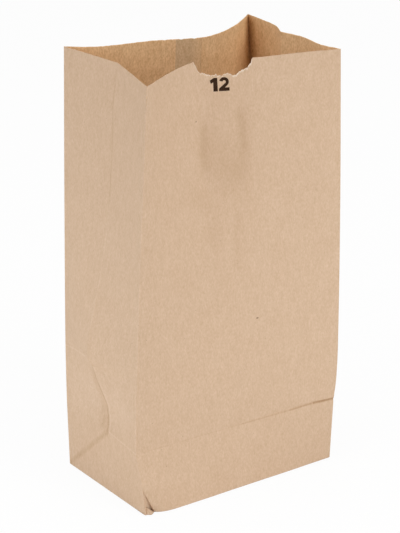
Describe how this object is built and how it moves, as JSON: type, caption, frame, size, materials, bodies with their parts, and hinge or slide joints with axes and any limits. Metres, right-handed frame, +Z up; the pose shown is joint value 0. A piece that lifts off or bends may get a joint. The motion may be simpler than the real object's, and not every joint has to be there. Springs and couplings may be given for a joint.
{
  "type": "paper lunch bag",
  "caption": "Open brown paper bag with creased sides, a flat folded bottom that stands by itself, a lapped back seam and a thumb notch in the front of the mouth.",
  "frame": {"origin": "under the middle of the flat bottom, on the surface the bag stands on", "axes": "+Z up out of the mouth, -Y to the front with the thumb notch, +X to the right of someone who looks at the front"},
  "size_m": [0.1931, 0.1392, 0.3522],
  "materials": {
    "kraft_paper": "unbleached brown kraft paper, matt, with fine fibres, darker specks and soft creases",
    "printing_ink": "dark brown-black printing ink, dry and matt, in the size number on the front"
  },
  "bodies": {
    "root": {"paper_bag": "kraft_paper"}
  },
  "joints": []
}
